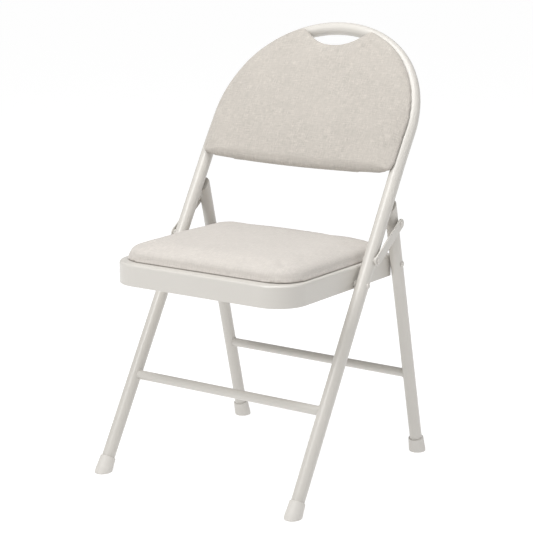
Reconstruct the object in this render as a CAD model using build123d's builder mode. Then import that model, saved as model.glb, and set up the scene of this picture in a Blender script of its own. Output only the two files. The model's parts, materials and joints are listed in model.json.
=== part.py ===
"""Padded steel folding chair, in millimetres.

Row frame: X to the sitter's left seen from the front, Y backwards, Z up, with
the origin on the floor under the middle of the whole chair's box.

The front legs and the back are one tube bent into a hoop. Its legs lie in a plane
that leans back; above a slight bend the arch lies in a plane that leans a little
more. Places on either are given as (x, s, d): s runs up from the floor and d is
the distance behind the plane, negative in front of it.
"""
import os
from math import asin, atan2, cos, degrees, hypot, radians, sin, sqrt, tan

from build123d import *

os.makedirs("parts", exist_ok=True)

# --- where the chair stands ------------------------------------------------------
FRONT_FOOT_Y = -249.44       # where the hoop's centre line meets the floor
REAR_FOOT_Y = FRONT_FOOT_Y + 456.9

# --- hoop: front legs and back in one tube ---------------------------------------
HOOP_LEAN = radians(30.77)   # from the vertical, towards the back
HOOP_R = 12.7
HOOP_WALL = 1.2
HOOP_X = 219.8               # half spacing of its legs
BEND_S = 690.0
BEND_TURN = radians(2.12)
BEND_R = 1200.0
ARCH_SIDE_R = 207.3
ARCH_TOP_R = 239.7
ARCH_TOP_S = 967.6
LEG_START = 12.0             # the tubes stop this far up their line, in the caps

# --- rear legs --------------------------------------------------------------------
REAR_LEAN = radians(13.886)  # from the vertical, towards the front
REAR_R = 12.0
REAR_WALL = 1.2
REAR_FOOT_X = 214.2
REAR_SPLAY = 0.0071          # growth of the half spacing with height
REAR_TOP_Z = 531.0
REAR_FLAT_D = 16.5           # the pressed flat that clears the hoop tube
REAR_FLAT_LOW_S = 430.0

# --- crossbars ----------------------------------------------------------------------
FRONT_BAR_R, FRONT_BAR_Z = 9.0, 172.4
REAR_BAR_R, REAR_BAR_Z = 8.6, 169.9
BAR_WALL = 1.0

# --- feet ---------------------------------------------------------------------------
CAP_RIM_R = 15.0
CAP_SOLE_R = 16.4
CAP_LENGTH = 31.0
CAP_SOLE_H = 6.0             # height of the sole's straight wall
CAP_BELOW = 14.0             # turned past the floor, then cut level with it
CAP_SOLE_FILLET = 2.0
CAP_EDGE_W, CAP_EDGE_H = 0.8, 1.0   # chamfer round the mouth

# --- seat -----------------------------------------------------------------------------
SEAT_FRONT_Y = FRONT_FOOT_Y + 3.4
SEAT_REAR_Y = FRONT_FOOT_Y + 374.0
SEAT_HALF_W = 204.0
SEAT_FRONT_R = 60.0
SEAT_REAR_R = 22.0
PAN_Z = 376.5
DECK_Z = 417.7
PAN_SHEET = 1.5
PAN_EDGE_R = 5.0
PAN_FLARE = 35.0             # degrees, of the deck's inner corner
HEM_WIDTH = 8.0
CUSHION_FRONT_INSET = 20.0
CUSHION_SIDE_INSET = 7.5
CUSHION_REAR_Y = FRONT_FOOT_Y + 357.0
CUSHION_TOP_Z = 446.5
CUSHION_FRONT_R, CUSHION_REAR_R = 54.0, 46.0
CUSHION_ROUND = 15.0
CUSHION_GAP = 0.6            # fabric to deck
SEAT_BOARD = 9.0
SEAT_BOARD_INSET = 16.0      # board edge inside the cushion's edge
BOARD_FRONT_R, BOARD_REAR_R = 38.0, 30.0
SEAT_SCREW_PITCH_X, SEAT_SCREW_PITCH_Y = 260.0, 220.0

# --- screws -----------------------------------------------------------------------------
SCREW_R = 2.2
SCREW_HEAD_R, SCREW_HEAD_H = 4.5, 2.2
SCREW_STOP = 2.0             # a seat screw's hole ends this far below the board's top
SCREW_TIP_GAP = 0.2

# --- linkage, in the plane of (y, z) ---------------------------------------------------
SEAT_PIVOT_Z = 384.0         # on the hoop tube's centre line
LEG_PIVOT_Z = 402.0          # on the rear leg's centre line
LINK_TOP_Z = 484.0           # on the rear leg's centre line
LINK_PIVOT_S = 497.0         # on the hoop tube's centre line
SEAT_TURN = radians(104.0)   # folded, the seat's rim stops under the pad's lower edge
PIN_R = 3.2
RUNNING = 0.06               # radial clearance of a pin that turns
HEAD_R = 5.2
HEAD_H = 2.0
HEAD_DOME = 0.75             # of a head's height is rounded
HEAD_BED = 1.2               # a head on a round tube reaches this far round it
LEG_HEAD_GAP = 0.2
SPACER_BED = 1.5             # likewise a spacer
HEAD_GAP = 0.15
SPACER_GAP = 0.1
SEAT_SPACER_R, LEG_SPACER_R, LINK_SPACER_R = 7.2, 7.5, 7.0
LINK_INNER_X = 235.2
LINK_SHEET = 3.0
LINK_HALF_W = 9.5
LINK_EDGE_R = 1.0
SHOULDER_R = 5.5             # of the link's end rivet
SHOULDER_GAP = 0.5           # from the shoulder to the rear leg
PLATE_SHEET = 2.5
PLATE_LOW_Z = PAN_Z + PAN_SHEET + 0.05   # just above the hem
PLATE_TOP_Z = 410.0
PLATE_REAR_Z = 396.0         # where the plate's raised rear edge begins
PLATE_FRONT_REACH, PLATE_REAR_REACH = 14.0, 8.0
PLATE_CORNER_R = 4.0

# --- back pad: fabric over foam and a board set in the hoop, lapping over its front -------
PAD_GAP = 0.3                # from the tube's front to the pad's lap
PAD_EDGE = 2.5               # the lap ends this far outside the tube's centre line
PAD_TUCK = 2.0               # narrower by this at the bottom
PAD_LOW_S = 659.5
PAD_BOW = 9.0                # the bottom edge drops this much in the middle
PAD_THICK = 13.0             # in front of the lap
PAD_ROUND = 8.5              # front rim
PAD_CORNER_R = 14.0
PAD_DEPTH = 7.0              # behind the lap, inside the hoop
GRIP_HALF_W = 61.0
GRIP_TIP_S = 944.0
GRIP_LOW_S = 921.5
HORN_SLANT = radians(40)      # of the horns' inner sides, from the level
PANEL_DEPTH = 7.4
PANEL_SHEET = 1.5
BACK_BOARD = 5.0
HOOP_CLEAR = 0.7             # from the pad's body to the tube
BACK_BOARD_INSET = 4.0       # from the pad's free edges
BOARD_CORNER_R = 8.0
TAB_SHEET = 3.0
TAB_WIDTH = 22.0
TAB_REACH = 34.0
TAB_CORNER_R = 3.0
TAB_SCREW_INSET = 9.0        # from the tab's inner end
LOWER_TAB_S = 722.0
UPPER_TAB_ANGLE = 24.0       # degrees round the arch's side bend

# --- general ------------------------------------------------------------------------------
FIXED_GAP = 0.02             # between pieces that are fixed to each other
POCKET_GAP = 0.05            # round a board set in its foam
OVERRUN = 1.0                # of a cutter past what it cuts
DRILL_REACH = 20.0           # of a pin hole's cutter to each side of a tube's middle
FLAT_CUTTER = 60.0           # width and depth of the rear leg flat's cutter

SIDES = {"left": 1, "right": -1}


# --- frames ----------------------------------------------------------------------------
def hoop_point(x, s, d=0.0):
    """Row-frame point of a place in the plane of the hoop's legs."""
    y = FRONT_FOOT_Y + s * sin(HOOP_LEAN) + d * cos(HOOP_LEAN)
    return Vector(x, y, s * cos(HOOP_LEAN) - d * sin(HOOP_LEAN))


def arch_point(x, s, d=0.0):
    """Row-frame point of a place in the arch's plane."""
    lean = HOOP_LEAN + BEND_TURN
    bend = hoop_point(x, BEND_S)
    up, back = Vector(0, sin(lean), cos(lean)), Vector(0, cos(lean), -sin(lean))
    return bend + up * (s - BEND_S) + back * d


def rear_point(side, z):
    """Row-frame point on a rear leg's centre line."""
    y = REAR_FOOT_Y - tan(REAR_LEAN) * z
    return Vector(side * (REAR_FOOT_X + REAR_SPLAY * z), y, z)


ARCH_PLANE = Plane(
    origin=arch_point(0, 0), x_dir=(1, 0, 0), z_dir=arch_point(0, 0, -1) - arch_point(0, 0)
)
PAD_PLANE = ARCH_PLANE.offset(HOOP_R + PAD_GAP)

# the arch's bends, in its plane
top_angle = asin((HOOP_X - ARCH_SIDE_R) / (ARCH_TOP_R - ARCH_SIDE_R))
top_centre_s = ARCH_TOP_S - ARCH_TOP_R
side_centre_s = top_centre_s + (ARCH_TOP_R - ARCH_SIDE_R) * cos(top_angle)
side_centre_x = HOOP_X - ARCH_SIDE_R

# --- linkage geometry --------------------------------------------------------------------
SEAT_PIVOT = hoop_point(0, SEAT_PIVOT_Z / cos(HOOP_LEAN))
LINK_TOP = rear_point(1, LINK_TOP_Z)
LEG_PIVOT = rear_point(1, LEG_PIVOT_Z)
LINK_PIVOT = hoop_point(0, LINK_PIVOT_S)


def on_hoop(point):
    """(s, d) of a row-frame point."""
    y, z = point.Y - FRONT_FOOT_Y, point.Z
    return (
        y * sin(HOOP_LEAN) + z * cos(HOOP_LEAN),
        y * cos(HOOP_LEAN) - z * sin(HOOP_LEAN),
    )


def turned(vector, angle):
    """An (s, d) vector turned the way the seat folds, its front going up."""
    s, d = vector
    return (s * cos(angle) - d * sin(angle), s * sin(angle) + d * cos(angle))


pivot_s, pivot_d = on_hoop(SEAT_PIVOT)
leg_s, leg_d = on_hoop(LEG_PIVOT)
top_s, top_d = on_hoop(LINK_TOP)
link_length = hypot(top_s - LINK_PIVOT_S, top_d)
strut = hypot(top_s - leg_s, top_d - leg_d)
arm = turned((leg_s - pivot_s, leg_d - pivot_d), SEAT_TURN)
folded_leg = (pivot_s + arm[0], pivot_d + arm[1])
# folded, the link's top is where it is still a strut from the leg pivot and a link
# from the link pivot: of the two such places, the one behind
gap = hypot(LINK_PIVOT_S - folded_leg[0], folded_leg[1])
along = (strut**2 - link_length**2 + gap**2) / (2 * gap)
aside = sqrt(strut**2 - along**2)
way = ((LINK_PIVOT_S - folded_leg[0]) / gap, -folded_leg[1] / gap)
folded_s = folded_leg[0] + along * way[0] - aside * way[1]
folded_d = folded_leg[1] + along * way[1] + aside * way[0]
strut_rest = atan2(top_d - leg_d, top_s - leg_s)
strut_folded = atan2(folded_d - folded_leg[1], folded_s - folded_leg[0])
leg_turn = strut_folded - strut_rest
link_turn = atan2(folded_d, folded_s - LINK_PIVOT_S) - atan2(top_d, top_s - LINK_PIVOT_S)
print("seat pivot", [round(v, 3) for v in SEAT_PIVOT])
print("leg pivot", [round(v, 3) for v in LEG_PIVOT])
print("link pivot", [round(v, 3) for v in LINK_PIVOT], "length", round(link_length, 2))
print("seat turn", round(degrees(SEAT_TURN), 3), "leg turn", round(degrees(leg_turn), 3))
print("link turn", round(degrees(link_turn), 3), "folded link top at d", round(folded_d, 2))


# --- helpers ------------------------------------------------------------------------------
def save(part, name):
    """Label a finished piece and write its STEP."""
    part.label = name
    export_step(part, "parts/" + name + ".step")


def bar(point, x_from, x_to, radius):
    """Loose cylinder along X through a pivot, for pins, holes and bosses."""
    low, high = sorted((x_from, x_to))
    plane = Plane(origin=(low, point.Y, point.Z), x_dir=(0, 1, 0), z_dir=(1, 0, 0))
    return Solid.make_cylinder(radius, high - low, plane)


def rod_between(start, end, radius):
    """Loose cylinder between two points."""
    length = (end - start).length
    return Solid.make_cylinder(radius, length, Plane(origin=start, z_dir=end - start))


def leg_rod(side, radius):
    """Loose cylinder along a leg of the hoop, up to the bend."""
    x = side * HOOP_X
    return rod_between(hoop_point(x, 0), hoop_point(x, BEND_S), radius)


def profile_plane(origin, direction):
    """Plane to draw a turned profile on: its y runs along the direction."""
    sideways = Vector(0, 1, 0).cross(direction).normalized()
    return Plane(origin=origin, x_dir=sideways, z_dir=sideways.cross(direction))


# --- hoop tube ------------------------------------------------------------------------
bend_reach = BEND_R * tan(BEND_TURN / 2)
bend_sag = BEND_R / cos(BEND_TURN / 2) - BEND_R
with BuildPart() as hoop_frame:
    with BuildLine(ARCH_PLANE) as arch_line:
        top_arc = JernArc((0, ARCH_TOP_S), (1, 0), ARCH_TOP_R, -degrees(top_angle))
        side_arc = JernArc(top_arc @ 1, top_arc % 1, ARCH_SIDE_R, degrees(top_angle) - 90)
        Line(side_arc @ 1, (HOOP_X, BEND_S + bend_reach))
    with BuildLine() as leg_line:
        bend = ThreePointArc(
            arch_point(HOOP_X, BEND_S + bend_reach),
            hoop_point(HOOP_X, BEND_S, bend_sag),
            hoop_point(HOOP_X, BEND_S - bend_reach),
        )
        Line(bend @ 1, hoop_point(HOOP_X, LEG_START))
    half_path = Wire(arch_line.edges() + leg_line.edges())
    with BuildSketch(Plane(origin=arch_point(0, ARCH_TOP_S), z_dir=(1, 0, 0))):
        Circle(HOOP_R)
        Circle(HOOP_R - HOOP_WALL, mode=Mode.SUBTRACT)
    sweep(path=half_path)
    mirror(about=Plane.YZ)
    for sign in SIDES.values():
        for pivot in (SEAT_PIVOT, LINK_PIVOT):
            drill = bar(pivot, sign * HOOP_X - DRILL_REACH, sign * HOOP_X + DRILL_REACH, PIN_R)
            add(drill, mode=Mode.SUBTRACT)
save(hoop_frame.part, "hoop_frame")

# --- crossbars, coped to the tubes they are welded to ------------------------------------
with BuildPart() as front_crossbar:
    bar_start = hoop_point(-HOOP_X, FRONT_BAR_Z / cos(HOOP_LEAN))
    with BuildSketch(Plane(origin=bar_start, z_dir=(1, 0, 0))):
        Circle(FRONT_BAR_R)
        Circle(FRONT_BAR_R - BAR_WALL, mode=Mode.SUBTRACT)
    extrude(amount=2 * HOOP_X)
    for sign in SIDES.values():
        add(leg_rod(sign, HOOP_R + FIXED_GAP), mode=Mode.SUBTRACT)
save(front_crossbar.part, "front_crossbar")

with BuildPart() as rear_crossbar:
    with BuildSketch(Plane(origin=rear_point(-1, REAR_BAR_Z), z_dir=(1, 0, 0))):
        Circle(REAR_BAR_R)
        Circle(REAR_BAR_R - BAR_WALL, mode=Mode.SUBTRACT)
    extrude(amount=2 * rear_point(1, REAR_BAR_Z).X)
    for sign in SIDES.values():
        rod = rod_between(rear_point(sign, 0), rear_point(sign, LEG_PIVOT_Z), REAR_R + FIXED_GAP)
        add(rod, mode=Mode.SUBTRACT)
save(rear_crossbar.part, "rear_crossbar")


# --- rear legs: straight tubes, rounded and pressed flat at the top ------------------------
def rear_leg_solid(side, shrink):
    """Loose outer (shrink 0) or inner shape of a rear leg."""
    foot, tip = rear_point(side, 0), rear_point(side, REAR_TOP_Z)
    radius = REAR_R - shrink
    length = (tip - foot).length
    start = LEG_START - (OVERRUN if shrink else 0.0)
    with BuildPart(mode=Mode.PRIVATE) as solid:
        with BuildSketch(profile_plane(foot, (tip - foot).normalized())):
            with BuildLine():
                Line((0, start), (radius, start))
                Line((radius, start), (radius, length - REAR_R))
                RadiusArc((radius, length - REAR_R), (0, length - shrink), -radius)
                Line((0, length - shrink), (0, start))
            make_face()
        revolve(axis=Axis(foot, tip - foot))
        flat_low = hoop_point(side * REAR_FOOT_X, REAR_FLAT_LOW_S, REAR_FLAT_D + shrink)
        flat_front = hoop_point(0, 0, -1) - hoop_point(0, 0)
        with BuildSketch(Plane(origin=flat_low, x_dir=(1, 0, 0), z_dir=flat_front)):
            Rectangle(FLAT_CUTTER, 2 * length, align=(Align.CENTER, Align.MIN))
        extrude(amount=FLAT_CUTTER, mode=Mode.SUBTRACT)
    return solid.part


for name, sign in SIDES.items():
    with BuildPart() as rear_leg:
        add(rear_leg_solid(sign, 0.0))
        add(rear_leg_solid(sign, REAR_WALL), mode=Mode.SUBTRACT)
        x_mid = sign * rear_point(1, LEG_PIVOT_Z).X
        add(bar(LEG_PIVOT, x_mid - DRILL_REACH, x_mid + DRILL_REACH, PIN_R + RUNNING), mode=Mode.SUBTRACT)
    save(rear_leg.part, "rear_leg_" + name)


# --- foot caps: moulded sockets with a flat sole on the floor ----------------------------------
def foot_cap(foot, direction, tube_r):
    """Cap on a leg whose centre line leaves the floor at foot."""
    with BuildPart(mode=Mode.PRIVATE) as cap:
        with BuildSketch(profile_plane(foot, direction)):
            with BuildLine():
                Polyline((0, -CAP_BELOW), (CAP_SOLE_R, -CAP_BELOW), (CAP_SOLE_R, CAP_SOLE_H),
                         (CAP_RIM_R, CAP_LENGTH - CAP_EDGE_H),
                         (CAP_RIM_R - CAP_EDGE_W, CAP_LENGTH), (0, CAP_LENGTH), close=True)
            make_face()
        revolve(axis=Axis(foot, direction))
        split(bisect_by=Plane.XY, keep=Keep.TOP)
        fillet(cap.edges().group_by(Axis.Z)[0], CAP_SOLE_FILLET)
        socket_start = foot + direction * LEG_START
        socket_end = foot + direction * (CAP_LENGTH + OVERRUN)
        add(rod_between(socket_start, socket_end, tube_r + FIXED_GAP), mode=Mode.SUBTRACT)
    return cap.part


for name, sign in SIDES.items():
    front_way = hoop_point(0, 1) - hoop_point(0, 0)
    front_cap = foot_cap(hoop_point(sign * HOOP_X, 0), front_way, HOOP_R)
    save(front_cap, "front_foot_cap_" + name)
    rear_way = (rear_point(sign, LEG_PIVOT_Z) - rear_point(sign, 0)).normalized()
    rear_cap = foot_cap(rear_point(sign, 0), rear_way, REAR_R)
    save(rear_cap, "rear_foot_cap_" + name)


# --- seat pan: a pressed tray, open below, with a turned-in hem ----------------------------------
def seat_outline(inset_front, inset_side, rear_y, front_r, rear_r):
    """Closed outline of the seat or of something inset from it, in the current sketch."""
    half = SEAT_HALF_W - inset_side
    low = SEAT_FRONT_Y + inset_front
    with BuildLine(Plane.XY) as outline:
        FilletPolyline(
            (0, low), (half, low), (half, rear_y), (0, rear_y), radius=[front_r, rear_r]
        )
        mirror(about=Plane.YZ)
    make_face(outline.edges())


def pan_outline(inset):
    """Outline of the pan, inset all round."""
    seat_outline(inset, inset, SEAT_REAR_Y - inset, SEAT_FRONT_R - inset, SEAT_REAR_R - inset)


def seat_screw_places():
    """Places of the four screws, seen from above."""
    middle = 0.5 * (SEAT_FRONT_Y + CUSHION_REAR_Y)
    half_x, half_y = SEAT_SCREW_PITCH_X / 2, SEAT_SCREW_PITCH_Y / 2
    return [(x, middle + y) for x in (-half_x, half_x) for y in (-half_y, half_y)]


with BuildPart() as seat_pan:
    with BuildSketch(Plane.XY.offset(PAN_Z)):
        pan_outline(0)
    extrude(amount=DECK_Z - PAN_Z)
    fillet(seat_pan.edges().group_by(Axis.Z)[-1], PAN_EDGE_R)
    with BuildSketch(Plane.XY.offset(PAN_Z + PAN_SHEET)):
        pan_outline(PAN_SHEET)
    extrude(amount=DECK_Z - PAN_Z - 2 * PAN_SHEET - PAN_EDGE_R, mode=Mode.SUBTRACT)
    with BuildSketch(Plane.XY.offset(DECK_Z - PAN_SHEET - PAN_EDGE_R)):
        pan_outline(PAN_SHEET)
    extrude(amount=PAN_EDGE_R, taper=PAN_FLARE, mode=Mode.SUBTRACT)
    with BuildSketch(Plane.XY.offset(PAN_Z)):
        pan_outline(HEM_WIDTH)
    extrude(amount=PAN_SHEET, mode=Mode.SUBTRACT)
    with Locations(Plane.XY.offset(DECK_Z)):
        with Locations(*seat_screw_places()):
            Hole(SCREW_R)
    for sign in SIDES.values():
        wall_out, wall_in = sign * (SEAT_HALF_W + OVERRUN), sign * (SEAT_HALF_W - HEM_WIDTH)
        add(bar(SEAT_PIVOT, wall_out, wall_in, PIN_R + RUNNING), mode=Mode.SUBTRACT)
        add(bar(LEG_PIVOT, wall_out, wall_in, PIN_R), mode=Mode.SUBTRACT)
save(seat_pan.part, "seat_pan")

# hinge plates: flat strips inside the pan's walls, joining the two pivots
plate_x = SEAT_HALF_W - PAN_SHEET - FIXED_GAP
plate_front_y = SEAT_PIVOT.Y - PLATE_FRONT_REACH
plate_rear_y = LEG_PIVOT.Y + PLATE_REAR_REACH
for name, sign in SIDES.items():
    x_out, x_in = sign * (plate_x + OVERRUN), sign * (plate_x - HEM_WIDTH)
    with BuildPart() as hinge_plate:
        low_x = min(sign * plate_x, sign * (plate_x - PLATE_SHEET))
        with BuildSketch(Plane(origin=(low_x, 0, 0), x_dir=(0, 1, 0), z_dir=(1, 0, 0))):
            with BuildLine():
                FilletPolyline(
                    (plate_front_y, PLATE_LOW_Z),
                    (LEG_PIVOT.Y - PLATE_REAR_REACH, PLATE_LOW_Z),
                    (plate_rear_y, PLATE_REAR_Z),
                    (plate_rear_y, PLATE_TOP_Z),
                    (plate_front_y, PLATE_TOP_Z),
                    radius=PLATE_CORNER_R,
                    close=True,
                )
            make_face()
        extrude(amount=PLATE_SHEET)
        add(bar(SEAT_PIVOT, x_out, x_in, PIN_R + RUNNING), mode=Mode.SUBTRACT)
        add(bar(LEG_PIVOT, x_out, x_in, PIN_R), mode=Mode.SUBTRACT)
        with BuildSketch(Plane.XY.offset(PAN_Z)):
            pan_outline(PAN_SHEET + FIXED_GAP)
        extrude(amount=DECK_Z - PAN_Z, mode=Mode.INTERSECT)
    save(hinge_plate.part, "hinge_plate_" + name)

# --- seat cushion with its board and screws ----------------------------------------------------
BOARD_LOW_Z = DECK_Z + FIXED_GAP


def seat_board_outline(grow=0.0):
    """Outline of the board inside the cushion."""
    inset = SEAT_BOARD_INSET - grow
    seat_outline(CUSHION_FRONT_INSET + inset, CUSHION_SIDE_INSET + inset,
                 CUSHION_REAR_Y - inset, BOARD_FRONT_R, BOARD_REAR_R)


with BuildPart() as seat_board:
    with BuildSketch(Plane.XY.offset(BOARD_LOW_Z)):
        seat_board_outline()
    extrude(amount=SEAT_BOARD)
    with Locations(Plane.XY.offset(BOARD_LOW_Z)):
        with Locations(*seat_screw_places()):
            Cylinder(SCREW_R, SEAT_BOARD - SCREW_STOP,
                     align=(Align.CENTER, Align.CENTER, Align.MIN), mode=Mode.SUBTRACT)
save(seat_board.part, "seat_board")

with BuildPart() as seat_cushion:
    with BuildSketch(Plane.XY.offset(DECK_Z + CUSHION_GAP)):
        seat_outline(CUSHION_FRONT_INSET, CUSHION_SIDE_INSET, CUSHION_REAR_Y,
                     CUSHION_FRONT_R, CUSHION_REAR_R)
    extrude(amount=CUSHION_TOP_Z - DECK_Z - CUSHION_GAP)
    fillet(seat_cushion.edges().group_by(Axis.Z)[-1], CUSHION_ROUND)
    with BuildSketch(Plane.XY.offset(DECK_Z)):
        seat_board_outline(POCKET_GAP)
    extrude(amount=SEAT_BOARD + 2 * POCKET_GAP, mode=Mode.SUBTRACT)
save(seat_cushion.part, "seat_cushion")

with BuildPart() as seat_screws:
    with Locations(Plane.XY.offset(DECK_Z - PAN_SHEET)):
        with Locations(*seat_screw_places()):
            Cylinder(SCREW_R - FIXED_GAP, PAN_SHEET + SEAT_BOARD - SCREW_STOP - SCREW_TIP_GAP,
                     align=(Align.CENTER, Align.CENTER, Align.MIN))
            Cylinder(SCREW_HEAD_R, SCREW_HEAD_H, align=(Align.CENTER, Align.CENTER, Align.MAX))
save(seat_screws.part, "seat_screws")


# --- pivots --------------------------------------------------------------------------------------
def head(point, side, x_inner, radius=HEAD_R, height=HEAD_H):
    """Loose domed rivet head whose flat side is at x_inner, pointing outwards."""
    plane = Plane(origin=(side * x_inner, point.Y, point.Z), x_dir=(0, 1, 0), z_dir=(side, 0, 0))
    with BuildPart(mode=Mode.PRIVATE) as dome:
        with BuildSketch(plane):
            Circle(radius)
        extrude(amount=height)
        rim = dome.edges().sort_by(Axis.X)[-1 if side > 0 else 0]
        fillet(rim, HEAD_DOME * height)
    return dome.part


def washer(point, x_from, x_to, outer):
    """Loose ring along X round a pivot."""
    low, high = sorted((x_from, x_to))
    return bar(point, low, high, outer) - bar(point, low - OVERRUN, high + OVERRUN, PIN_R)


PIN = PIN_R - FIXED_GAP
plate_head_x = plate_x - PLATE_SHEET - HEAD_GAP
tube_in_x, tube_out_x = HOOP_X - HOOP_R, HOOP_X + HOOP_R
leg_mid_x = rear_point(1, LEG_PIVOT_Z).X
for name, sign in SIDES.items():
    tube = leg_rod(sign, HOOP_R + FIXED_GAP)

    # seat pivot: fixed in the hoop tube, the seat turns on it
    with BuildPart() as seat_pivot_rivet:
        add(head(SEAT_PIVOT, sign, tube_out_x - HEAD_BED, HEAD_R, HEAD_H + 1))
        add(tube, mode=Mode.SUBTRACT)
        add(bar(SEAT_PIVOT, sign * (plate_head_x - HEAD_H), sign * tube_out_x, PIN))
        add(head(SEAT_PIVOT, -sign, -plate_head_x))
    save(seat_pivot_rivet.part, "seat_pivot_rivet_" + name)

    # leg pivot: fixed in the seat, the rear leg turns on it
    leg_head_x = leg_mid_x + REAR_R + LEG_HEAD_GAP
    with BuildPart() as leg_pivot_rivet:
        add(bar(LEG_PIVOT, sign * (plate_x - PLATE_SHEET - 1), sign * (leg_head_x + 0.5), PIN))
        add(head(LEG_PIVOT, sign, leg_head_x))
        add(head(LEG_PIVOT, -sign, -(plate_x - PLATE_SHEET - FIXED_GAP)))
    save(leg_pivot_rivet.part, "leg_pivot_rivet_" + name)

    # link pivot: fixed in the hoop tube, the link turns on it
    link_head_x = LINK_INNER_X + LINK_SHEET + HEAD_GAP
    with BuildPart() as link_pivot_rivet:
        add(head(LINK_PIVOT, -sign, -(tube_in_x + HEAD_BED / 2), HEAD_R - 1))
        add(tube, mode=Mode.SUBTRACT)
        add(bar(LINK_PIVOT, sign * (tube_in_x - 1), sign * (link_head_x + 1), PIN))
        add(head(LINK_PIVOT, sign, link_head_x))
    save(link_pivot_rivet.part, "link_pivot_rivet_" + name)

    # link: a pressed strip with round ends
    link_way = LINK_TOP - LINK_PIVOT
    link_plane = Plane(origin=(sign * LINK_INNER_X, LINK_PIVOT.Y, LINK_PIVOT.Z),
                       x_dir=(0, link_way.Y, link_way.Z), z_dir=(sign, 0, 0))
    x_in, x_out = sign * (LINK_INNER_X - OVERRUN), sign * (LINK_INNER_X + LINK_SHEET + OVERRUN)
    with BuildPart() as link:
        with BuildSketch(link_plane):
            with Locations((link_length / 2, 0)):
                SlotCenterToCenter(link_length, 2 * LINK_HALF_W)
        extrude(amount=LINK_SHEET)
        outer_rim = link.edges().group_by(Axis.X)[-1 if sign > 0 else 0]
        fillet(outer_rim, LINK_EDGE_R)
        add(bar(LINK_PIVOT, x_in, x_out, PIN_R + RUNNING), mode=Mode.SUBTRACT)
        add(bar(LINK_TOP, x_in, x_out, PIN_R), mode=Mode.SUBTRACT)
    save(link.part, "link_" + name)

    # link end rivet: shouldered, fixed in the link, stopping just short of the rear leg
    shoulder_x = LINK_TOP.X + REAR_R + SHOULDER_GAP
    with BuildPart() as link_end_rivet:
        add(bar(LINK_TOP, sign * shoulder_x, sign * (LINK_INNER_X - FIXED_GAP), SHOULDER_R))
        add(bar(LINK_TOP, sign * shoulder_x, sign * (LINK_INNER_X + LINK_SHEET + 0.5), PIN))
        add(head(LINK_TOP, sign, LINK_INNER_X + LINK_SHEET + FIXED_GAP))
    save(link_end_rivet.part, "link_end_rivet_" + name)

# spacers between the parts that turn past each other, both sides in one node
with BuildPart() as seat_spacers:
    for sign in SIDES.values():
        x_from, x_to = sign * (SEAT_HALF_W + SPACER_GAP), sign * (tube_in_x + SPACER_BED)
        add(washer(SEAT_PIVOT, x_from, x_to, SEAT_SPACER_R) - leg_rod(sign, HOOP_R + FIXED_GAP))
save(seat_spacers.part, "seat_spacers")

with BuildPart() as leg_spacers:
    for sign in SIDES.values():
        x_from, x_to = sign * (SEAT_HALF_W - 1), sign * (leg_mid_x - REAR_R - SPACER_GAP)
        add(washer(LEG_PIVOT, x_from, x_to, LEG_SPACER_R) - seat_pan.part)
save(leg_spacers.part, "leg_spacers")

with BuildPart() as link_spacers:
    for sign in SIDES.values():
        x_from, x_to = sign * (tube_out_x - SPACER_BED), sign * (LINK_INNER_X - SPACER_GAP)
        add(washer(LINK_PIVOT, x_from, x_to, LINK_SPACER_R) - leg_rod(sign, HOOP_R + FIXED_GAP))
save(link_spacers.part, "link_spacers")


# --- back: board, rear panel, tabs, screws and pad, in the arch's (x, s) ----------------------------
def arch_face(edge):
    """Face inside the arch, edge outside its centre line, reaching down past the pad."""
    side_r, top_r = ARCH_SIDE_R + edge, ARCH_TOP_R + edge
    join = Vector(top_r * sin(top_angle), top_centre_s + top_r * cos(top_angle))
    spring = Vector(side_centre_x + side_r, side_centre_s)
    low = Vector(spring.X - PAD_TUCK, PAD_LOW_S - PAD_BOW)
    with BuildLine(Plane.XY) as outline:
        ThreePointArc((-join.X, join.Y), (0, top_centre_s + top_r), join)
        for sign in SIDES.values():
            RadiusArc((sign * join.X, join.Y), (sign * spring.X, spring.Y), sign * side_r)
            Line((sign * spring.X, spring.Y), (sign * low.X, low.Y))
        Line((-low.X, low.Y), low)
    make_face(outline.edges())


def pad_face(sketch, edge, inset, corner_r):
    """Outline of the pad or of a board in it, inset from the pad's grip and bottom edges."""
    arch_face(edge)
    tip = Vector(GRIP_HALF_W + inset, GRIP_TIP_S)
    wide = tip + Vector(cos(HORN_SLANT), sin(HORN_SLANT)) * GRIP_HALF_W
    with BuildLine(Plane.XY) as grip:
        ThreePointArc((-tip.X, tip.Y), (0, GRIP_LOW_S - inset), tip)
        Polyline(tip, wide, (-wide.X, wide.Y), (-tip.X, tip.Y))
    make_face(grip.edges(), mode=Mode.SUBTRACT)
    low = PAD_LOW_S + inset
    reach, rise = 2 * HOOP_X, 4 * PAD_BOW
    with BuildLine(Plane.XY) as below:
        ThreePointArc((-reach, low + rise), (0, low), (reach, low + rise))
        Polyline((reach, low + rise), (reach, 0), (-reach, 0), (-reach, low + rise))
    make_face(below.edges(), mode=Mode.SUBTRACT)
    fillet(sketch.vertices().sort_by(Axis.Y)[:2], corner_r)


def tab_frames():
    """Local frames of the four tabs: x points out to the tube, origin on its centre line."""
    frames = []
    for sign in SIDES.values():
        for angle in (0.0, radians(UPPER_TAB_ANGLE)):
            s = side_centre_s + ARCH_SIDE_R * sin(angle) if angle else LOWER_TAB_S
            x = side_centre_x + ARCH_SIDE_R * cos(angle)
            out = PAD_PLANE.x_dir * (sign * cos(angle)) + PAD_PLANE.y_dir * sin(angle)
            origin = PAD_PLANE.from_local_coords(Vector(sign * x, s, 0))
            frames.append(Plane(origin=origin, x_dir=out, z_dir=PAD_PLANE.z_dir))
    return frames


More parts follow.
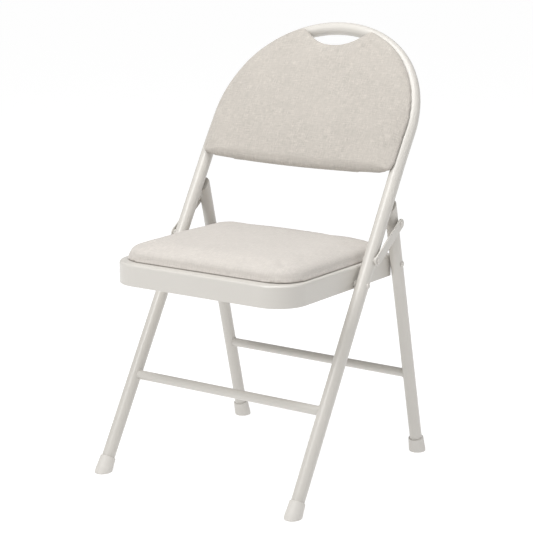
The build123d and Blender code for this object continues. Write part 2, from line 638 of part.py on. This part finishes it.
TABS = tab_frames()
BODY_EDGE = -(HOOP_R + HOOP_CLEAR)
BOARD_EDGE = BODY_EDGE - BACK_BOARD_INSET
SCREW_OUT = TAB_SCREW_INSET - HOOP_R - TAB_REACH
board_q = PANEL_SHEET + FIXED_GAP - PANEL_DEPTH
tab_q = -PANEL_DEPTH - TAB_SHEET - FIXED_GAP

with BuildPart() as back_panel:
    with BuildSketch(PAD_PLANE.offset(-PANEL_DEPTH)) as panel_face:
        pad_face(panel_face, BOARD_EDGE - 1, BACK_BOARD_INSET + 1, BOARD_CORNER_R)
    extrude(amount=PANEL_SHEET)
    for frame_plane in TABS:
        with Locations(frame_plane.offset(-PANEL_DEPTH)):
            with Locations((SCREW_OUT, 0)):
                Cylinder(SCREW_R, 4 * PANEL_SHEET, mode=Mode.SUBTRACT)
save(back_panel.part, "back_panel")

with BuildPart() as back_board:
    with BuildSketch(PAD_PLANE.offset(board_q)) as board_face:
        pad_face(board_face, BOARD_EDGE, BACK_BOARD_INSET, BOARD_CORNER_R)
    extrude(amount=BACK_BOARD)
    for frame_plane in TABS:
        with Locations(frame_plane.offset(board_q)):
            with Locations((SCREW_OUT, 0)):
                Cylinder(SCREW_R, 2 * BACK_BOARD - 1, mode=Mode.SUBTRACT)
save(back_board.part, "back_board")

with BuildPart() as back_tabs:
    for frame_plane in TABS:
        with BuildSketch(frame_plane.offset(tab_q)):
            with Locations((1 - HOOP_R - TAB_REACH, 0)):
                RectangleRounded(TAB_REACH, TAB_WIDTH, TAB_CORNER_R, align=(Align.MIN, Align.CENTER))
            with Locations((1 - HOOP_R, 0)):
                Rectangle(TAB_REACH / 2, TAB_WIDTH, align=(Align.MAX, Align.CENTER))
            with Locations((SCREW_OUT, 0)):
                Circle(SCREW_R, mode=Mode.SUBTRACT)
        extrude(amount=TAB_SHEET)
    add(hoop_frame.part, mode=Mode.SUBTRACT)
save(back_tabs.part, "back_tabs")

with BuildPart() as back_screws:
    for frame_plane in TABS:
        with BuildSketch(frame_plane.offset(tab_q - FIXED_GAP)):
            with Locations((SCREW_OUT, 0)):
                Circle(SCREW_HEAD_R)
        extrude(amount=-SCREW_HEAD_H)
        with BuildSketch(frame_plane.offset(tab_q - FIXED_GAP)):
            with Locations((SCREW_OUT, 0)):
                Circle(SCREW_R - FIXED_GAP)
        extrude(amount=TAB_SHEET + PANEL_SHEET + BACK_BOARD - 1)
save(back_screws.part, "back_screws")

with BuildPart() as back_pad:
    with BuildSketch(PAD_PLANE) as lap_face:
        pad_face(lap_face, PAD_EDGE, 0, PAD_CORNER_R)
    extrude(amount=PAD_THICK)
    front_rim = back_pad.faces().sort_by(Axis(PAD_PLANE.origin, PAD_PLANE.z_dir))[-1]
    fillet(front_rim.edges(), PAD_ROUND)
    with BuildSketch(PAD_PLANE.offset(-PAD_DEPTH)) as body_face:
        pad_face(body_face, BODY_EDGE, POCKET_GAP, BOARD_CORNER_R)
    extrude(amount=PAD_DEPTH)
    with BuildSketch(PAD_PLANE.offset(-PAD_DEPTH - OVERRUN)) as cavity_face:
        pad_face(cavity_face, BOARD_EDGE + POCKET_GAP, BACK_BOARD_INSET - POCKET_GAP, BOARD_CORNER_R)
    extrude(amount=PAD_DEPTH + OVERRUN + board_q + BACK_BOARD + POCKET_GAP, mode=Mode.SUBTRACT)
save(back_pad.part, "back_pad")
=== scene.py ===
"""Looks for the padded folding chair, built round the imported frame. Metres."""

import json
from math import atan2, cos, exp, hypot, pi, radians, sin, sqrt, tan

import bmesh
import bpy
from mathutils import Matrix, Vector, noise


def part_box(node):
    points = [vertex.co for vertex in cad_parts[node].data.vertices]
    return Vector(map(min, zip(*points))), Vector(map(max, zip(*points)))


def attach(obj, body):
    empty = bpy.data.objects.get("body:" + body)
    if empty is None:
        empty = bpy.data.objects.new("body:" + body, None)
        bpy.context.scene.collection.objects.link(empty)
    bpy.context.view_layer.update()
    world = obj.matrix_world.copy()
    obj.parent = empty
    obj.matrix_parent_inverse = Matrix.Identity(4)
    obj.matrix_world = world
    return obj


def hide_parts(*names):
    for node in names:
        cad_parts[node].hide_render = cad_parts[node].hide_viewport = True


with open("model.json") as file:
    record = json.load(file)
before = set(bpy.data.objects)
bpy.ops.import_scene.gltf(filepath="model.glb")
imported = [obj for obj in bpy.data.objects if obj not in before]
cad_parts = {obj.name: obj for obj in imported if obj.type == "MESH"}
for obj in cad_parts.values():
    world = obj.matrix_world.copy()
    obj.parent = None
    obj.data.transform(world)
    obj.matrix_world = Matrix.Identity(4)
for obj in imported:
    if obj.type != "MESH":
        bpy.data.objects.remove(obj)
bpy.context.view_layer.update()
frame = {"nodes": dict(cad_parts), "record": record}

# --- the frame's driving sizes, as in the CAD ------------------------------------
FRONT_FOOT_Y = -0.24944
REAR_FOOT_Y = FRONT_FOOT_Y + 0.4569
HOOP_LEAN = radians(30.77)
REAR_LEAN = radians(13.886)
HOOP_R = 0.0127
REAR_R = 0.012
HOOP_X = 0.2198
REAR_FOOT_X = 0.2142
REAR_SPLAY = 0.0071
FRONT_BAR_R, FRONT_BAR_Z = 0.0090, 0.1724
REAR_BAR_R, REAR_BAR_Z = 0.0086, 0.1699
PAD_LEAN = HOOP_LEAN + radians(2.12)
PAD_DEPTH = 0.0070           # of the pad's body behind its lap
PAD_THICK = 0.0130           # in front of the lap

# --- the view ---------------------------------------------------------------------
CAMERA_AT = Vector((1.8118, -2.6355, 1.0987))
CAMERA_YAW = 0.6047
CAMERA_DROP = 0.2187
CAMERA_LENS = 114.94
LIGHT_AIM = Vector((0, 0, 0.42))

# --- studio -------------------------------------------------------------------------
FLOOR_HALF = 60.0
FLOOR_ALBEDO = 0.30
FLOOR_GLOW = 0.88
WORLD_STRENGTH = 0.36

# --- soft pieces --------------------------------------------------------------------
SEAT_VOXEL = 0.0050
SEAT_CROWN = 0.0040          # the middle rises by this
SEAT_EDGE_DROP = 0.0030      # and the top's edge comes down by this
SEAT_SETTLE = 0.0005         # of the lowest part, down on to the pan
SEAT_FLARE = 0.007           # share by which the foot is wider
SEAT_TAPER = 0.010           # and the top narrower
SEAT_HELD = 0.003            # held this far above the foot while it inflates
SEAT_STILL = 0.002           # and not smoothed this far above it
PAD_VOXEL = 0.0035
PAD_CROWN = 0.0018
PAD_EDGE_DROP = 0.0036
PAD_SAG = 0.0011             # of the lower part
PAD_HELD = 0.002             # held and not smoothed up to this far in front of the lap
CLOTH_STEPS = 20

SIDES = {"left": 1, "right": -1}


# --- node helpers -------------------------------------------------------------------
class Nodes:
    """Small wrapper that makes and links shader nodes in one tree."""

    def __init__(self, tree):
        self.tree = tree

    def add(self, kind, links=None, **settings):
        """A new node; links maps an input to a value or to another node's output."""
        node = self.tree.nodes.new(kind)
        for key, value in settings.items():
            setattr(node, key, value)
        for key, value in (links or {}).items():
            self.put(node, key, value)
        return node

    def put(self, node, key, value):
        if isinstance(value, bpy.types.NodeSocket):
            self.tree.links.new(value, node.inputs[key])
        else:
            node.inputs[key].default_value = value

    def math(self, operation, a, b=0.0, c=0.0):
        node = self.add("ShaderNodeMath", {0: a, 1: b, 2: c}, operation=operation)
        return node.outputs[0]

    def noise(self, vector, scale, detail=3.0, roughness=0.5, distortion=0.0):
        values = {
            "Vector": vector,
            "Scale": scale,
            "Detail": detail,
            "Roughness": roughness,
            "Distortion": distortion,
        }
        return self.add("ShaderNodeTexNoise", values).outputs["Fac"]

    def stretch(self, vector, scale, rotation=(0, 0, 0)):
        values = {"Vector": vector, "Scale": scale, "Rotation": rotation}
        return self.add("ShaderNodeMapping", values).outputs[0]

    def ramp(self, fac, low, high, start=0.0, end=1.0):
        values = {
            "Value": fac,
            "From Min": start,
            "From Max": end,
            "To Min": low,
            "To Max": high,
        }
        return self.add("ShaderNodeMapRange", values).outputs[0]

    def mix(self, fac, a, b, blend="MIX"):
        node = self.add("ShaderNodeMix", data_type="RGBA", blend_type=blend)
        self.put(node, 0, fac)
        self.put(node, 6, a)
        self.put(node, 7, b)
        return node.outputs[2]

    def bump(self, height, strength, distance, normal=None):
        values = {"Height": height, "Strength": strength, "Distance": distance}
        if normal is not None:
            values["Normal"] = normal
        return self.add("ShaderNodeBump", values).outputs[0]


def new_material(name):
    """A material, its nodes wrapper, its shader and its object coordinates."""
    material = bpy.data.materials.new(name)
    material.use_nodes = True
    nodes = Nodes(material.node_tree)
    shader = material.node_tree.nodes["Principled BSDF"]
    place = nodes.add("ShaderNodeTexCoord").outputs["Object"]
    return material, nodes, shader, place


def shade(colour, factor):
    """A colour made lighter or darker, with alpha."""
    return (*[min(1.0, c * factor) for c in colour], 1.0)


# --- materials -----------------------------------------------------------------------
def powder_coat(name, colour, gloss=0.36, peel=0.10):
    """Baked powder coat: satin, with a fine orange peel and faint handling marks."""
    material, nodes, shader, place = new_material(name)
    broad = nodes.noise(place, 9.0, 2.0)
    speckle = nodes.noise(place, 620.0, 2.0)
    rub = nodes.noise(nodes.stretch(place, (40, 40, 14)), 1.0, 6.0, 0.62, 0.6)
    marks = nodes.ramp(rub, 0.0, 1.0, 0.60, 0.78)
    tint = nodes.mix(broad, shade(colour, 0.975), shade(colour, 1.02))
    tint = nodes.mix(nodes.math("MULTIPLY", speckle, 0.10), tint, shade(colour, 0.90))
    tint = nodes.mix(nodes.math("MULTIPLY", marks, 0.07), tint, shade(colour, 0.80))
    nodes.put(shader, "Base Color", tint)
    rough = nodes.ramp(speckle, gloss - 0.05, gloss + 0.05, 0.3, 0.7)
    rough = nodes.math("ADD", rough, nodes.math("MULTIPLY", marks, 0.08))
    nodes.put(shader, "Roughness", rough)
    shader.inputs["Coat Weight"].default_value = 0.30
    shader.inputs["Coat Roughness"].default_value = 0.20
    orange = nodes.noise(place, 780.0, 1.0)
    waves = nodes.noise(place, 150.0, 1.0)
    fine = nodes.bump(orange, peel, 0.00012)
    nodes.put(shader, "Normal", nodes.bump(waves, 0.06, 0.00025, fine))
    return material


def moulded_plastic(name, colour, rough, grain):
    """Moulded plastic with a fine spark-eroded grain and slight flow variation."""
    material, nodes, shader, place = new_material(name)
    flow = nodes.noise(nodes.stretch(place, (30, 30, 90)), 1.0, 3.0)
    pits = nodes.noise(place, grain, 2.0, 0.6)
    scuffs = nodes.ramp(nodes.noise(place, 70.0, 5.0, 0.65), 0.0, 1.0, 0.62, 0.8)
    tint = nodes.mix(flow, shade(colour, 0.96), shade(colour, 1.02))
    tint = nodes.mix(nodes.math("MULTIPLY", scuffs, 0.16), tint, shade(colour, 0.78))
    nodes.put(shader, "Base Color", tint)
    nodes.put(shader, "Roughness", nodes.ramp(pits, rough - 0.06, rough + 0.08, 0.3, 0.7))
    nodes.put(shader, "Normal", nodes.bump(pits, 0.18, 0.0002))
    return material


def bare_steel(name, colour):
    """Zinc-plated steel, lightly brushed."""
    material, nodes, shader, place = new_material(name)
    brush = nodes.noise(nodes.stretch(place, (2400, 300, 2400)), 1.0, 3.0)
    cloud = nodes.noise(place, 160.0, 3.0)
    nodes.put(shader, "Base Color", nodes.mix(cloud, shade(colour, 0.86), shade(colour, 1.1)))
    shader.inputs["Metallic"].default_value = 1.0
    nodes.put(shader, "Roughness", nodes.ramp(brush, 0.25, 0.45))
    nodes.put(shader, "Normal", nodes.bump(brush, 0.10, 0.0001))
    return material


def plywood(name, colour):
    """Raw plywood: long grain with darker veins."""
    material, nodes, shader, place = new_material(name)
    grain = nodes.noise(nodes.stretch(place, (8, 120, 120)), 1.0, 6.0, 0.6, 1.5)
    pores = nodes.noise(nodes.stretch(place, (60, 900, 900)), 1.0, 3.0)
    tint = nodes.mix(grain, shade(colour, 0.72), shade(colour, 1.12))
    tint = nodes.mix(nodes.math("MULTIPLY", pores, 0.2), tint, shade(colour, 0.55))
    nodes.put(shader, "Base Color", tint)
    nodes.put(shader, "Roughness", nodes.ramp(pores, 0.6, 0.8))
    nodes.put(shader, "Normal", nodes.bump(pores, 0.3, 0.0004))
    return material


def weave(nodes, flat, pitch):
    """Height and tint of a plain weave laid over a flat pair of coordinates."""
    wobble = nodes.noise(flat, 160.0, 2.0)
    threads = nodes.stretch(flat, (1 / pitch, 1 / pitch, 0))
    shift = nodes.add("ShaderNodeVectorMath", {0: threads}, operation="ADD")
    push = nodes.math("MULTIPLY", wobble, 0.9)
    nodes.put(shift, 1, nodes.add("ShaderNodeCombineXYZ", {0: push, 1: push}).outputs[0])
    threads = shift.outputs[0]
    period = {"Vector": threads, "Scale": 0.31416, "Distortion": 0.0}
    warp = nodes.add("ShaderNodeTexWave", period, bands_direction="X").outputs["Fac"]
    weft = nodes.add("ShaderNodeTexWave", period, bands_direction="Y").outputs["Fac"]
    over = nodes.add("ShaderNodeTexChecker", {"Vector": threads, "Scale": 1.0}).outputs["Fac"]
    height = nodes.add("ShaderNodeMix", {0: over, 2: warp, 3: weft}).outputs[0]
    warp_slub = nodes.noise(nodes.stretch(flat, (560, 70, 0)), 1.0, 4.0, 0.65)
    weft_slub = nodes.noise(nodes.stretch(flat, (70, 560, 0)), 1.0, 4.0, 0.65)
    slub = nodes.math("ADD", warp_slub, weft_slub)
    return height, nodes.math("MULTIPLY", slub, 0.5)


def woven_fabric(name, colour, lean, contrast=1.0, pitch=0.0013):
    """Light upholstery weave with slubs, seen flat-on in three directions, with painted shade in the
    weave's hollows.
    """
    material, nodes, shader, place = new_material(name)
    coordinates = nodes.tree.nodes["Texture Coordinate"]
    turn = (-lean, 0, 0)
    local = nodes.stretch(place, (1, 1, 1), turn)
    facing = nodes.stretch(coordinates.outputs["Normal"], (1, 1, 1), turn)
    xyz = nodes.add("ShaderNodeSeparateXYZ", {0: local}).outputs
    way = nodes.add("ShaderNodeSeparateXYZ", {0: facing}).outputs
    flats = []
    for first, second in ((1, 2), (0, 2), (0, 1)):
        pair = nodes.add("ShaderNodeCombineXYZ", {0: xyz[first], 1: xyz[second]})
        flats.append(weave(nodes, pair.outputs[0], pitch))
    weights = []
    for axis in range(3):
        amount = nodes.math("ABSOLUTE", way[axis])
        weights.append(nodes.math("POWER", amount, 4.0))
    total = nodes.math("ADD", nodes.math("ADD", weights[0], weights[1]), weights[2])
    blended = []
    for part in range(2):
        terms = [nodes.math("MULTIPLY", weights[i], flats[i][part]) for i in range(3)]
        added = nodes.math("ADD", nodes.math("ADD", terms[0], terms[1]), terms[2])
        blended.append(nodes.math("DIVIDE", added, total))
    height, slub = blended
    cloud = nodes.noise(place, 55.0, 4.0, 0.55)
    blotch = nodes.noise(place, 14.0, 2.0)
    dark, light = shade(colour, 1 - 0.30 * contrast), shade(colour, 1 + 0.22 * contrast)
    tint = nodes.mix(nodes.ramp(slub, 0.0, 1.0, 0.36, 0.64), dark, light)
    tint = nodes.mix(nodes.ramp(cloud, 0.0, 0.7 * contrast, 0.4, 0.7), tint, shade(colour, 0.90))
    tint = nodes.mix(nodes.ramp(blotch, 0.0, 0.35, 0.4, 0.7), tint, shade(colour, 1.06))
    # Painted shade: the weave's low points, between the threads, are darkened towards 0.62 of the
    # colour.
    weave_hollow_shade = nodes.ramp(height, 0.16, 0.0, 0.1, 0.8)
    tint = nodes.mix(weave_hollow_shade, tint, shade(colour, 0.62))
    nodes.put(shader, "Base Color", tint)
    nodes.put(shader, "Roughness", nodes.ramp(slub, 0.86, 0.96, 0.3, 0.7))
    shader.inputs["Sheen Weight"].default_value = 0.22
    shader.inputs["Sheen Roughness"].default_value = 0.45
    shader.inputs["Specular IOR Level"].default_value = 0.25
    relief = nodes.math("ADD", nodes.math("MULTIPLY", height, 0.6), slub)
    nodes.put(shader, "Normal", nodes.bump(relief, 0.45 * contrast, 0.0006))
    return material


def paint_nodes():
    """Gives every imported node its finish."""
    steel = (0.598, 0.574, 0.534)
    coat = powder_coat("powder_coat", steel)
    pan = powder_coat("powder_coat_pan", steel, 0.34, 0.08)
    looks = {
        "frame_paint": coat,
        "pan_paint": pan,
        "foot_plastic": moulded_plastic("foot_plastic", (0.655, 0.630, 0.592), 0.48, 1500.0),
        "rivet_steel": powder_coat("rivet_coat", (0.600, 0.570, 0.530), 0.26, 0.04),
        "spacer_plastic": moulded_plastic("spacer_nylon", (0.56, 0.54, 0.50), 0.42, 900.0),
        "screw_steel": bare_steel("zinc", (0.60, 0.60, 0.59)),
        "panel_plastic": moulded_plastic("panel_plastic", (0.57, 0.545, 0.51), 0.55, 1100.0),
        "board_wood": plywood("plywood", (0.50, 0.36, 0.22)),
        "back_fabric": woven_fabric("back_weave", (0.507, 0.472, 0.428), PAD_LEAN),
        "seat_fabric": woven_fabric("seat_weave", (0.588, 0.552, 0.512), 0.0, 0.55),
    }
    for row in frame["record"]["subparts"]:
        node = frame["nodes"][row["node"]]
        node.data.materials.clear()
        node.data.materials.append(looks[row["material_slot"]])
    return looks


# --- cushions ------------------------------------------------------------------------
def merged(name, *nodes):
    """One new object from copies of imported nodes' meshes."""
    form = bmesh.new()
    for node in nodes:
        form.from_mesh(frame["nodes"][node].data)
    mesh = bpy.data.meshes.new(name)
    form.to_mesh(mesh)
    form.free()
    obj = bpy.data.objects.new(name, mesh)
    bpy.context.scene.collection.objects.link(obj)
    return obj


def bake_modifiers(obj):
    """Replaces the object's mesh with its modified one and clears the modifiers."""
    depsgraph = bpy.context.evaluated_depsgraph_get()
    mesh = bpy.data.meshes.new_from_object(obj.evaluated_get(depsgraph))
    obj.modifiers.clear()
    old = obj.data
    obj.data = mesh
    bpy.data.meshes.remove(old)


def remesh(obj, voxel):
    modifier = obj.modifiers.new("remesh", "REMESH")
    modifier.mode = "VOXEL"
    modifier.voxel_size = voxel
    modifier.use_smooth_shade = True
    bake_modifiers(obj)


def smooth(obj, factor, repeat, keep=None):
    """Evens out the surface, apart from the points that keep is true for."""
    form = bmesh.new()
    form.from_mesh(obj.data)
    moving = [v for v in form.verts if keep is None or not keep(v.co)]
    for _ in range(repeat):
        bmesh.ops.smooth_vert(
            form, verts=moving, factor=factor, use_axis_x=True, use_axis_y=True, use_axis_z=True
        )
    form.to_mesh(obj.data)
    form.free()


def inflate(obj, pinned, pressure, limit):
    """Cloth under air pressure; no point moves further than the limit."""
    start = [v.co.copy() for v in obj.data.vertices]
    group = obj.vertex_groups.new(name="held")
    group.add([i for i, co in enumerate(start) if pinned(co)], 1.0, "ADD")
    cloth = obj.modifiers.new("cloth", "CLOTH")
    cloth.settings.use_pressure = True
    cloth.settings.uniform_pressure_force = pressure
    cloth.settings.vertex_group_mass = group.name
    cloth.settings.effector_weights.gravity = 0.0
    cloth.settings.quality = 4
    cloth.settings.tension_stiffness = 12.0
    cloth.settings.compression_stiffness = 12.0
    cloth.settings.shear_stiffness = 5.0
    cloth.settings.bending_stiffness = 0.4
    cloth.collision_settings.use_collision = False
    cloth.point_cache.frame_start, cloth.point_cache.frame_end = 1, CLOTH_STEPS
    for step in range(1, CLOTH_STEPS + 1):
        bpy.context.scene.frame_set(step)
    bake_modifiers(obj)
    obj.vertex_groups.clear()
    for vertex, home in zip(obj.data.vertices, start):
        move = vertex.co - home
        if move.length > limit:
            vertex.co = home + move * (limit / move.length)
    bpy.context.scene.frame_set(1)


def finish_cushion(obj, node, body, material):
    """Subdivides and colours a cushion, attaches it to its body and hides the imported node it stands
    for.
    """
    rounder = obj.modifiers.new("rounder", "SUBSURF")
    rounder.levels = rounder.render_levels = 1
    bake_modifiers(obj)
    for face in obj.data.polygons:
        face.use_smooth = True
    obj.data.materials.clear()
    obj.data.materials.append(material)
    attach(obj, body)
    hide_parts(node)


def seat_cushion(material):
    """Crowned seat cushion, pulled in and puckered where it is tucked under."""
    cushion = merged("seat_cushion_cover", "seat_cushion", "seat_board")
    remesh(cushion, SEAT_VOXEL)
    low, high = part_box("seat_cushion")
    middle = (low + high) / 2
    half = (high - low) / 2
    for vertex in cushion.data.vertices:
        co = vertex.co
        up = max(0.0, (co.z - low.z) / (high.z - low.z))
        across = (co.x - middle.x) / half.x
        along = (co.y - middle.y) / half.y
        dome = max(0.0, 1 - across**4) * max(0.0, 1 - along**4)
        co.z += up * (SEAT_CROWN * dome - SEAT_EDGE_DROP * (1 - dome)) - SEAT_SETTLE * (1 - up) ** 4
        pull = 1 + SEAT_FLARE * (1 - up) ** 2 - SEAT_TAPER * up**3
        co.x = middle.x + (co.x - middle.x) * pull
        co.y = middle.y + (co.y - middle.y) * pull
    smooth(cushion, 0.5, 3, lambda co: co.z < low.z + SEAT_STILL)
    inflate(cushion, lambda co: co.z < low.z + SEAT_HELD, 4.0, 0.0035)
    smooth(cushion, 0.5, 2, lambda co: co.z < low.z + SEAT_STILL)
    pucker(cushion, middle, half, low.z)
    finish_cushion(cushion, "seat_cushion", "seat", material)
    return cushion


def pucker(obj, middle, half, floor_z):
    """Small gathers round the corners, just above the tucked edge."""
    for vertex in obj.data.vertices:
        co = vertex.co
        across, along = (co.x - middle.x) / half.x, (co.y - middle.y) / half.y
        corner = max(0.0, min(abs(across), abs(along)) - 0.62) / 0.38
        if corner <= 0.0 or hypot(across, along) < 1.02:
            continue
        rise = (co.z - floor_z) / 0.011
        band = exp(-rise * rise)
        turn = atan2(along, across)
        fold = sin(turn * 150 + 3 * noise.noise(co * 60)) * 0.5
        shift = 0.0011 * corner * band * fold
        out = Vector((co.x - middle.x, co.y - middle.y, 0)).normalized()
        vertex.co = co + out * shift


def back_pad(material):
    """Back pad: set in the hoop, its soft front lapping over the tube, with the grip cut-out."""
    pad = merged("back_pad_cover", "back_pad", "back_board")
    remesh(pad, PAD_VOXEL)
    behind = Vector((0, cos(PAD_LEAN), -sin(PAD_LEAN)))
    upward = Vector((0, sin(PAD_LEAN), cos(PAD_LEAN)))
    lap = max(v.co.dot(behind) for v in pad.data.vertices) - PAD_DEPTH
    heights = [v.co.dot(upward) for v in pad.data.vertices]
    low, high = min(heights), max(heights)

    def height(co):
        """How far in front of the lap."""
        return lap - co.dot(behind)

    for vertex in pad.data.vertices:
        co = vertex.co
        forward = max(0.0, height(co) / PAD_THICK)
        across = co.x / 0.22
        up = (co.dot(upward) - low) / (high - low) * 2 - 1
        dome = max(0.0, 1 - abs(across) ** 3.5) * max(0.0, 1 - abs(up) ** 3.5)
        co -= behind * forward**2 * (PAD_CROWN * dome - PAD_EDGE_DROP * (1 - dome))
        co -= upward * PAD_SAG * min(1.0, max(0.0, -up - 0.4) / 0.6)
    smooth(pad, 0.5, 2)
    smooth(pad, 0.5, 3, lambda co: height(co) < PAD_HELD)
    inflate(pad, lambda co: height(co) < PAD_HELD, 2.0, 0.0016)
    smooth(pad, 0.5, 5, lambda co: height(co) < PAD_HELD)
    finish_cushion(pad, "back_pad", "front_frame", material)
    return pad


# --- welds ---------------------------------------------------------------------------
def ring_mesh(name, centres, radii, sides=8):
    """Closed tube through a ring of centres, each with its own radius."""
    count = len(centres)
    verts, faces = [], []
    for i, (centre, radius) in enumerate(zip(centres, radii)):
        ahead = (centres[(i + 1) % count] - centres[i - 1]).normalized()
        first = ahead.orthogonal().normalized()
        out = (centre - sum(centres, Vector()) / count).normalized()
        first = (out - ahead * out.dot(ahead)).normalized()
        second = ahead.cross(first)
        for k in range(sides):
            angle = 2 * pi * k / sides
            verts.append(centre + (first * cos(angle) + second * sin(angle)) * radius)
    for i in range(count):
        for k in range(sides):
            a, b = i * sides + k, i * sides + (k + 1) % sides
            c, d = ((i + 1) % count) * sides + (k + 1) % sides, ((i + 1) % count) * sides + k
            faces.append((a, b, c, d))
    mesh = bpy.data.meshes.new(name)
    mesh.from_pydata(verts, [], faces)
    for face in mesh.polygons:
        face.use_smooth = True
    obj = bpy.data.objects.new(name, mesh)
    bpy.context.scene.collection.objects.link(obj)
    return obj


def weld(name, body, centre, bar_r, leg_r, leg_way, side, material):
    """Painted-over weld bead where a crossbar meets the inner side of a leg."""
    across = Vector((side, 0, 0)).cross(leg_way).normalized()
    along = across.cross(Vector((side, 0, 0))).normalized()
    centres, radii = [], []
    steps = 64
    for i in range(steps):
        angle = 2 * pi * i / steps
        reach = bar_r + 0.0003
        aside, up = reach * cos(angle), reach * sin(angle)
        depth = sqrt(leg_r**2 - aside**2)
        spot = centre + across * aside + along * up - Vector((side * depth, 0, 0))
        ripple = 0.5 + 0.5 * sin(angle * 22)
        centres.append(spot)
        radii.append(0.00105 + 0.00030 * ripple + 0.00018 * noise.noise(spot * 400))
    bead = ring_mesh(name, centres, radii)
    bead.data.materials.append(material)
    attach(bead, body)
    return bead


def welds(material):
    """Four beads, at the ends of both crossbars."""
    front_way = Vector((0, sin(HOOP_LEAN), cos(HOOP_LEAN)))
    rear_way = Vector((0, -sin(REAR_LEAN), cos(REAR_LEAN)))
    for name, side in SIDES.items():
        spot = Vector((
            side * HOOP_X,
            FRONT_FOOT_Y + FRONT_BAR_Z * tan(HOOP_LEAN),
            FRONT_BAR_Z,
        ))
        weld("weld_front_" + name, "front_frame", spot, FRONT_BAR_R, HOOP_R, front_way, side, material)
        spot = Vector((
            side * (REAR_FOOT_X + REAR_SPLAY * REAR_BAR_Z),
            REAR_FOOT_Y - REAR_BAR_Z * tan(REAR_LEAN),
            REAR_BAR_Z,
        ))
        weld("weld_rear_" + name, "rear_frame", spot, REAR_BAR_R, REAR_R, rear_way, side, material)


# --- studio ------------------------------------------------------------------------------
def studio():
    """White floor, soft lights and the camera."""
    scene = bpy.context.scene
    scene.view_settings.view_transform = "Standard"
    mesh = bpy.data.meshes.new("floor")
    half = FLOOR_HALF
    corners = [(-half, -half, 0), (half, -half, 0), (half, half, 0), (-half, half, 0)]
    mesh.from_pydata(corners, [], [(0, 1, 2, 3)])
    floor = bpy.data.objects.new("floor", mesh)
    scene.collection.objects.link(floor)
    material, _, shader, _ = new_material("floor_white")
    shader.inputs["Base Color"].default_value = (FLOOR_ALBEDO, FLOOR_ALBEDO, FLOOR_ALBEDO, 1)
    shader.inputs["Roughness"].default_value = 0.9
    shader.inputs["Specular IOR Level"].default_value = 0.0
    shader.inputs["Emission Color"].default_value = (1, 1, 1, 1)
    shader.inputs["Emission Strength"].default_value = FLOOR_GLOW
    mesh.materials.append(material)

    world = bpy.data.worlds.new("studio")
    scene.world = world
    world.use_nodes = True
    world.node_tree.nodes["Background"].inputs["Color"].default_value = (1, 1, 1, 1)
    world.node_tree.nodes["Background"].inputs["Strength"].default_value = WORLD_STRENGTH

    def softbox(name, azimuth, elevation, distance, width, height, power):
        data = bpy.data.lights.new(name, "AREA")
        data.shape, data.size, data.size_y = "RECTANGLE", width, height
        data.energy = power
        light = bpy.data.objects.new(name, data)
        turn, rise = radians(azimuth), radians(elevation)
        way = Vector((sin(turn) * cos(rise), -cos(turn) * cos(rise), sin(rise)))
        light.location = LIGHT_AIM + way * distance
        light.rotation_mode = "QUATERNION"
        light.rotation_quaternion = way.to_track_quat("Z", "Y")
        scene.collection.objects.link(light)

    softbox("key", -14, 46, 3.0, 1.3, 1.6, 42)
    softbox("top", 20, 82, 2.6, 2.0, 2.0, 48)
    softbox("side", 100, 25, 3.0, 1.0, 1.6, 6)

    data = bpy.data.cameras.new("camera")
    data.lens = CAMERA_LENS
    data.sensor_width = 36.0
    data.clip_end = 200.0
    camera = bpy.data.objects.new("camera", data)
    camera.location = CAMERA_AT
    ahead = Vector((
        -sin(CAMERA_YAW) * cos(CAMERA_DROP),
        cos(CAMERA_YAW) * cos(CAMERA_DROP),
        -sin(CAMERA_DROP),
    ))
    camera.rotation_mode = "QUATERNION"
    camera.rotation_quaternion = ahead.to_track_quat("-Z", "Y")
    scene.collection.objects.link(camera)
    scene.camera = camera


studio()
finishes = paint_nodes()
welds(finishes["frame_paint"])
seat_cushion(finishes["seat_fabric"])
back_pad(finishes["back_fabric"])
